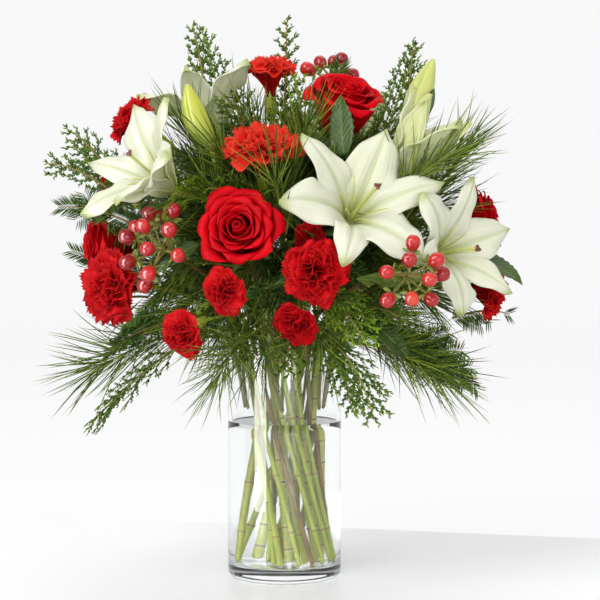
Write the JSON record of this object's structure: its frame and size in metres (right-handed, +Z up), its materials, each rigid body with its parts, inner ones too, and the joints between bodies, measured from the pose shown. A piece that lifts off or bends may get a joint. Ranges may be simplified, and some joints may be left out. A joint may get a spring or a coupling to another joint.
{
  "type": "carnations in a vase",
  "caption": "Mixed bouquet of red carnations, roses, white lilies, berries and evergreen sprigs, standing in a clear glass cylinder vase of water.",
  "frame": {"origin": "centre of the flat underside of the vase", "axes": "+Z up along the vase's axis, -Y towards the bouquet's front, +X to the right seen from the front"},
  "size_m": [0.4104, 0.343, 0.5068],
  "materials": {
    "vase_glass": "clear polished",
    "water": "clear water",
    "stem": "smooth living stem",
    "rose_petals": "velvety petal",
    "carnation_petals": "matt ruffled petal",
    "lily_petals": "waxy petal",
    "lily_bud": "waxy closed bud",
    "berry": "glossy berry",
    "pine_foliage": "waxy needles",
    "cedar_foliage": "scaly foliage",
    "fir_foliage": "waxy needles"
  },
  "bodies": {
    "root": {"vase": "vase_glass", "water": "water", "rose_1_stem": "stem", "rose_2_stem": "stem", "rose_3_stem": "stem", "rose_4_stem": "stem", "rose_5_stem": "stem", "carnation_1_stem": "stem", "carnation_2_stem": "stem", "carnation_3_stem": "stem", "carnation_5_stem": "stem", "carnation_6_stem": "stem", "carnation_7_stem": "stem", "carnation_8_stem": "stem", "carnation_10_stem": "stem", "carnation_11_stem": "stem", "lily_1_stem": "stem", "lily_2_stem": "stem", "lily_3_stem": "stem", "lily_5_stem": "stem", "rose_1": "rose_petals", "rose_2": "rose_petals", "rose_3": "rose_petals", "rose_4": "rose_petals", "rose_5": "rose_petals", "carnation_1": "carnation_petals", "carnation_2": "carnation_petals", "carnation_3": "carnation_petals", "carnation_4": "carnation_petals", "carnation_5": "carnation_petals", "carnation_6": "carnation_petals", "carnation_7": "carnation_petals", "carnation_8": "carnation_petals", "carnation_9": "carnation_petals", "carnation_10": "carnation_petals", "carnation_11": "carnation_petals", "carnation_12": "carnation_petals", "lily_1": "lily_petals", "lily_2": "lily_petals", "lily_3": "lily_petals", "lily_4": "lily_petals", "lily_5": "lily_petals", "lily_half_open": "lily_petals", "lily_bud_1": "lily_bud", "lily_bud_2": "lily_bud", "berry_sprig_1": "berry", "berry_sprig_2": "berry", "berry_sprig_3": "berry", "pine_1": "pine_foliage", "pine_2": "pine_foliage", "pine_3": "pine_foliage", "pine_4": "pine_foliage", "cedar_1": "cedar_foliage", "cedar_2": "cedar_foliage", "cedar_3": "cedar_foliage", "cedar_4": "cedar_foliage", "cedar_5": "cedar_foliage", "fir_1": "fir_foliage", "fir_2": "fir_foliage", "fir_3": "fir_foliage"}
  },
  "joints": []
}
